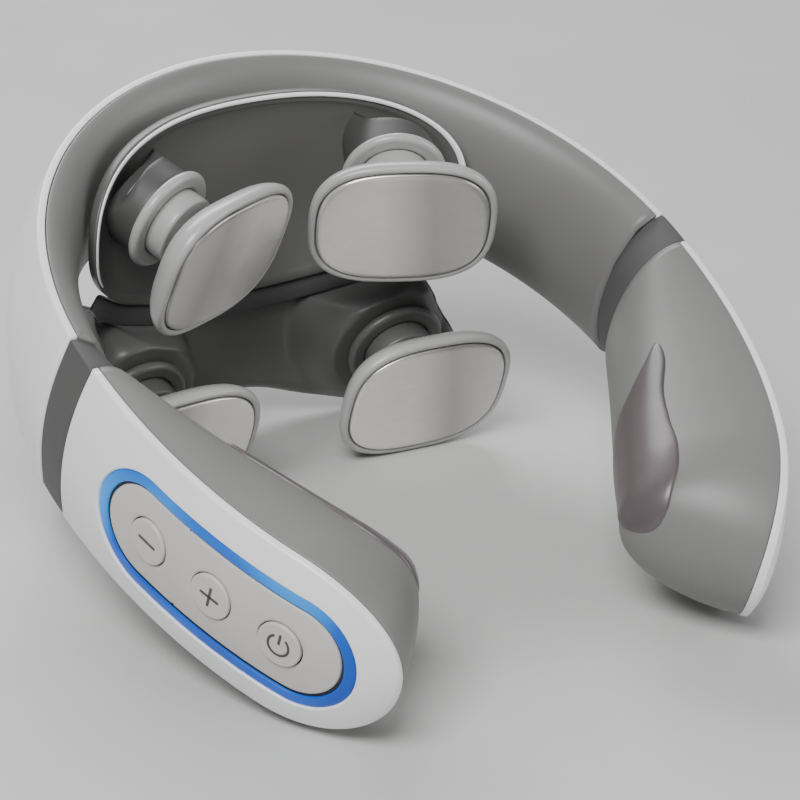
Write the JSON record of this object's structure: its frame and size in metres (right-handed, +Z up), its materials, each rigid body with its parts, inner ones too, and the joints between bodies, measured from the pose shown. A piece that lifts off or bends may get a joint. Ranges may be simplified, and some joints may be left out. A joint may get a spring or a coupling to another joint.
{
  "type": "shiatsu neck massager",
  "caption": "C-shaped neck massager with flexing arms, a floating cradle of sprung tilting metal electrode heads, and a control panel in a light ring.",
  "frame": {"origin": "centre of the bounding box at the surface it rests on", "axes": "+Z up, the band's opening faces -Y, and the arm without the controls is +X, on the right as seen from the opening"},
  "size_m": [0.149, 0.1644, 0.0878],
  "materials": {
    "white_shell": "satin",
    "grey_cover": "soft touch",
    "joint_rubber": "matte",
    "cradle_grey": "soft touch",
    "trim_bright": "polished",
    "bezel_grey": "satin",
    "electrode": "brushed",
    "pad_silicone": "gloss",
    "panel_champagne": "satin",
    "light_blue": "translucent",
    "spring_steel": "bright",
    "board_green": "solder mask",
    "switch_black": "matte",
    "cell_foil": "satin"
  },
  "bodies": {
    "rear_band": {"rear_outer_shell": "white_shell", "rear_inner_cover": "grey_cover", "rear_spine": "spring_steel", "left_joint_sleeve": "joint_rubber", "right_joint_sleeve": "joint_rubber", "left_flex_strip": "spring_steel", "right_flex_strip": "spring_steel", "cradle_hub": "cradle_grey", "hub_screws": "spring_steel", "cradle_upper_shell": "cradle_grey", "cradle_trim": "trim_bright", "cradle_back_cover": "cradle_grey", "cradle_flex_strip": "joint_rubber", "upper_left_collar": "bezel_grey", "upper_right_collar": "bezel_grey", "upper_left_spring": "spring_steel", "upper_right_spring": "spring_steel"},
    "left_arm": {"left_arm_shell": "white_shell", "left_arm_cover": "grey_cover", "left_side_pad": "pad_silicone", "led_light_guide": "light_blue", "control_panel": "panel_champagne", "control_board": "board_green", "tact_switches": "switch_black", "board_screws": "spring_steel", "speaker": "switch_black"},
    "right_arm": {"right_arm_shell": "white_shell", "right_arm_cover": "grey_cover", "right_side_pad": "pad_silicone", "battery_cell": "cell_foil", "charge_board": "board_green", "charge_board_screws": "spring_steel", "charge_socket": "spring_steel", "vibration_motor": "spring_steel"},
    "lower_cradle": {"cradle_lower_shell": "cradle_grey", "cradle_lower_back": "cradle_grey", "cradle_back_screws": "spring_steel", "lower_left_collar": "bezel_grey", "lower_right_collar": "bezel_grey", "lower_left_spring": "spring_steel", "lower_right_spring": "spring_steel"},
    "minus_key": {"minus_button": "panel_champagne"},
    "plus_key": {"plus_button": "panel_champagne"},
    "power_key": {"power_button": "panel_champagne"},
    "upper_left_stem_body": {"upper_left_stem": "bezel_grey"},
    "upper_left_head": {"upper_left_head_shell": "bezel_grey", "upper_left_electrode_plate": "electrode"},
    "upper_right_stem_body": {"upper_right_stem": "bezel_grey"},
    "upper_right_head": {"upper_right_head_shell": "bezel_grey", "upper_right_electrode_plate": "electrode"},
    "lower_left_stem_body": {"lower_left_stem": "bezel_grey"},
    "lower_left_head": {"lower_left_head_shell": "bezel_grey", "lower_left_electrode_plate": "electrode"},
    "lower_right_stem_body": {"lower_right_stem": "bezel_grey"},
    "lower_right_head": {"lower_right_head_shell": "bezel_grey", "lower_right_electrode_plate": "electrode"}
  },
  "joints": [
    {"name": "left_arm_flex", "type": "hinge", "parent": "rear_band", "child": "left_arm", "pos_m": [-0.066, -0.00044, 0.04287], "axis": [0, 0.3231, -0.9464], "range_deg": [-4, 18], "stiffness_Nm_per_rad": 1.2, "deforming": ["left_joint_sleeve", "left_flex_strip"]},
    {"name": "right_arm_flex", "type": "hinge", "parent": "rear_band", "child": "right_arm", "pos_m": [0.066, -0.00044, 0.04287], "axis": [0, -0.3231, 0.9464], "range_deg": [-4, 18], "stiffness_Nm_per_rad": 1.2, "deforming": ["right_joint_sleeve", "right_flex_strip"]},
    {"name": "lower_cradle_flex", "type": "hinge", "parent": "rear_band", "child": "lower_cradle", "pos_m": [0, 0.0477, 0.038], "axis": [1, 0, 0], "range_deg": [-6, 6], "stiffness_Nm_per_rad": 2, "deforming": ["cradle_flex_strip"]},
    {"name": "upper_left_press", "type": "slide", "parent": "rear_band", "child": "upper_left_stem_body", "axis": [-0.3832, 0.8606, 0.3355], "range_m": [0, 0.003], "stiffness_N_per_m": 900, "springref_m": -0.0006, "deforming": ["upper_left_spring"]},
    {"name": "upper_left_tilt", "type": "hinge", "parent": "upper_left_stem_body", "child": "upper_left_head", "pos_m": [-0.02349, 0.02831, 0.06148], "axis": [0.9135, 0.4067, 0], "range_deg": [-8, 8], "stiffness_Nm_per_rad": 0.25},
    {"name": "upper_right_press", "type": "slide", "parent": "rear_band", "child": "upper_right_stem_body", "axis": [0.3832, 0.8606, 0.3355], "range_m": [0, 0.003], "stiffness_N_per_m": 900, "springref_m": -0.0006, "deforming": ["upper_right_spring"]},
    {"name": "upper_right_tilt", "type": "hinge", "parent": "upper_right_stem_body", "child": "upper_right_head", "pos_m": [0.02349, 0.02831, 0.06148], "axis": [0.9135, -0.4067, 0], "range_deg": [-8, 8], "stiffness_Nm_per_rad": 0.25},
    {"name": "lower_left_press", "type": "slide", "parent": "lower_cradle", "child": "lower_left_stem_body", "axis": [-0.0657, 0.9398, 0.3355], "range_m": [0, 0.003], "stiffness_N_per_m": 900, "springref_m": -0.0006, "deforming": ["lower_left_spring"]},
    {"name": "lower_left_tilt", "type": "hinge", "parent": "lower_left_stem_body", "child": "lower_left_head", "pos_m": [-0.03194, 0.03152, 0.01748], "axis": [0.9976, 0.0698, 0], "range_deg": [-8, 8], "stiffness_Nm_per_rad": 0.25},
    {"name": "lower_right_press", "type": "slide", "parent": "lower_cradle", "child": "lower_right_stem_body", "axis": [0.0657, 0.9398, 0.3355], "range_m": [0, 0.003], "stiffness_N_per_m": 900, "springref_m": -0.0006, "deforming": ["lower_right_spring"]},
    {"name": "lower_right_tilt", "type": "hinge", "parent": "lower_right_stem_body", "child": "lower_right_head", "pos_m": [0.03194, 0.03152, 0.01748], "axis": [0.9976, -0.0698, 0], "range_deg": [-8, 8], "stiffness_Nm_per_rad": 0.25},
    {"name": "minus_press", "type": "slide", "parent": "left_arm", "child": "minus_key", "axis": [0.9761, 0.2056, 0.0702], "range_m": [0, 0.0005], "stiffness_N_per_m": 600, "springref_m": -0.001},
    {"name": "plus_press", "type": "slide", "parent": "left_arm", "child": "plus_key", "axis": [0.9408, 0.3207, 0.1095], "range_m": [0, 0.0005], "stiffness_N_per_m": 600, "springref_m": -0.001},
    {"name": "power_press", "type": "slide", "parent": "left_arm", "child": "power_key", "axis": [0.8851, 0.4405, 0.1504], "range_m": [0, 0.0005], "stiffness_N_per_m": 600, "springref_m": -0.001}
  ]
}
